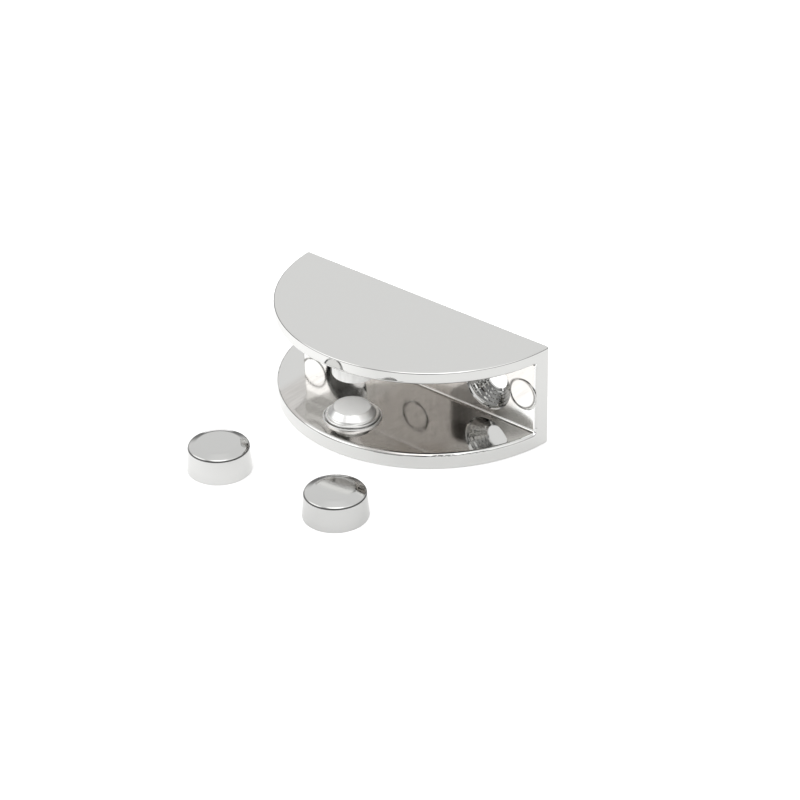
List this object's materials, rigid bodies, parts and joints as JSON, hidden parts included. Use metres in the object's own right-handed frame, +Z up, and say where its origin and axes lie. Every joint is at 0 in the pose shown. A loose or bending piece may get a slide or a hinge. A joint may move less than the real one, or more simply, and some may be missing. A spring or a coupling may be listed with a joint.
{
  "type": "glass shelf clip",
  "caption": "Half-round plated clip that screws to a wall and grips the edge of a glass shelf between a boss above and a clamp pad raised by a screw from below, with two loose caps.",
  "frame": {"origin": "on the face that meets the wall, midway between the two wall screw holes", "axes": "+X along the wall, +Y into the wall, so -Y points into the room, +Z up"},
  "size_m": [0.07, 0.0607, 0.0241],
  "materials": {
    "plated_casting": "polished",
    "screw_steel": "bright zinc",
    "plated_pad": "polished",
    "pad_face_plastic": "satin",
    "plated_cap": "polished"
  },
  "bodies": {
    "clip": {"clip_body": "plated_casting", "loose_cap_left": "plated_cap", "loose_cap_right": "plated_cap"},
    "pad": {"clamp_pad": "plated_pad", "pad_face": "pad_face_plastic"},
    "screw": {"clamp_screw": "screw_steel"}
  },
  "joints": [
    {"name": "pad_lift", "type": "slide", "parent": "clip", "child": "pad", "axis": [0, 0, 1], "range_m": [0, 0.0021]},
    {"name": "screw_turn", "type": "hinge", "parent": "pad", "child": "screw", "pos_m": [0, -0.024, -0.0115], "axis": [0, 0, 1], "continuous": true}
  ],
  "couplings": [
    {"joint": "screw_turn", "follows": "pad_lift", "rad_per_m": 6283.2}
  ]
}
